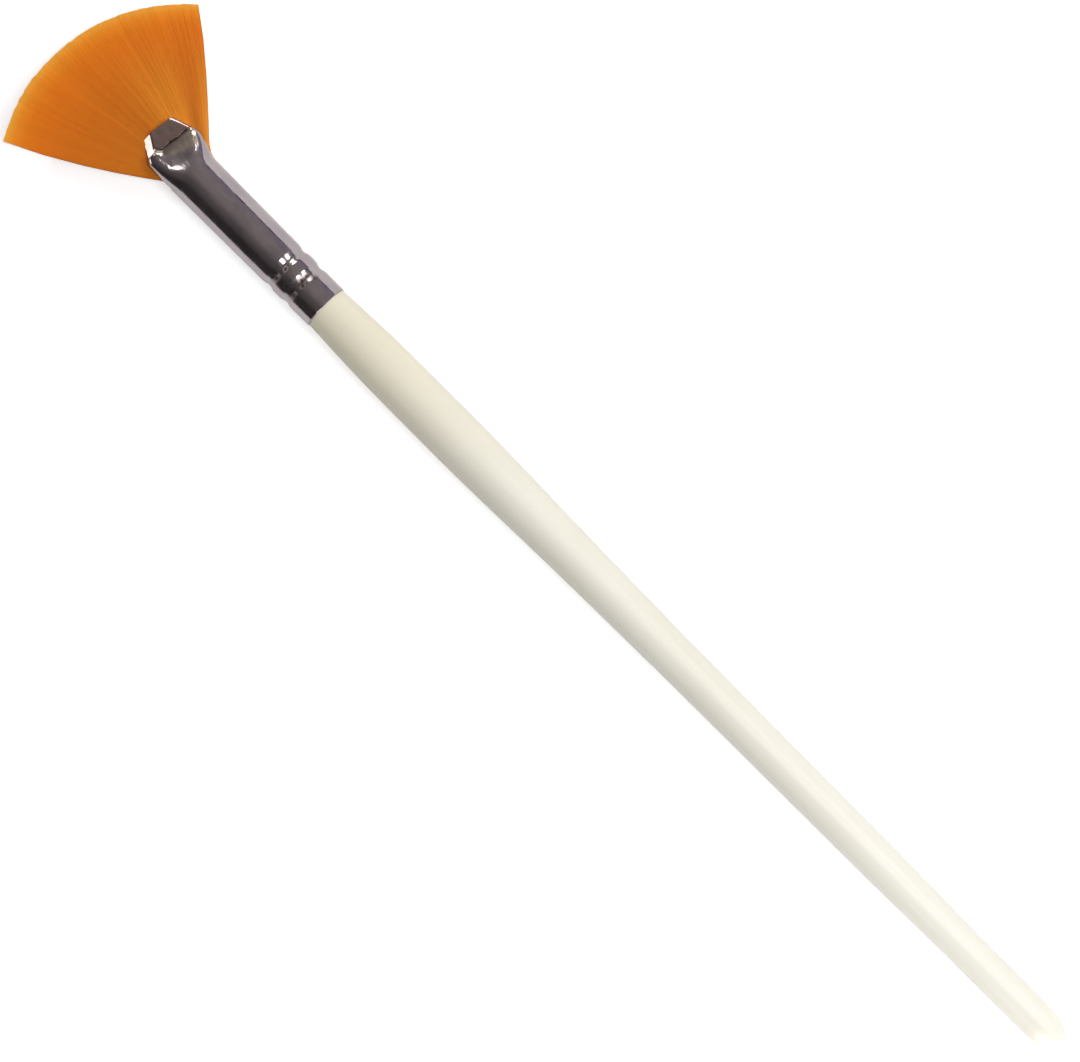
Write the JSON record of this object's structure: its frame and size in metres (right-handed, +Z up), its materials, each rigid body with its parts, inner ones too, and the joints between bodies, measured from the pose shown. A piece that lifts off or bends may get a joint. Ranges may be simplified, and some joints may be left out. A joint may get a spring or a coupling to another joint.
{
  "type": "fan make-up brush",
  "caption": "Fan make-up brush: a thin flat fan of orange synthetic bristles in a crimped, plated metal ferrule on a long turned handle in ivory lacquer.",
  "frame": {"origin": "centre of the bounding box in X and Y, on the surface that the brush rests on", "axes": "+X along the handle towards its butt, +Y to the side of the fan that touches the surface, +Z up; the fan is rolled by 12.6 degrees about X, as the brush comes to rest on its belly and a corner of the fan"},
  "size_m": [0.2189, 0.0354, 0.0086],
  "materials": {
    "handle": "ivory gloss lacquer",
    "ferrule": "bright nickel plate on brass",
    "bristles": "satin dyed synthetic filaments",
    "resin": "clear amber resin"
  },
  "bodies": {
    "root": {"handle": "handle", "ferrule": "ferrule", "bristle_fan": "bristles", "root_resin": "resin"}
  },
  "joints": []
}
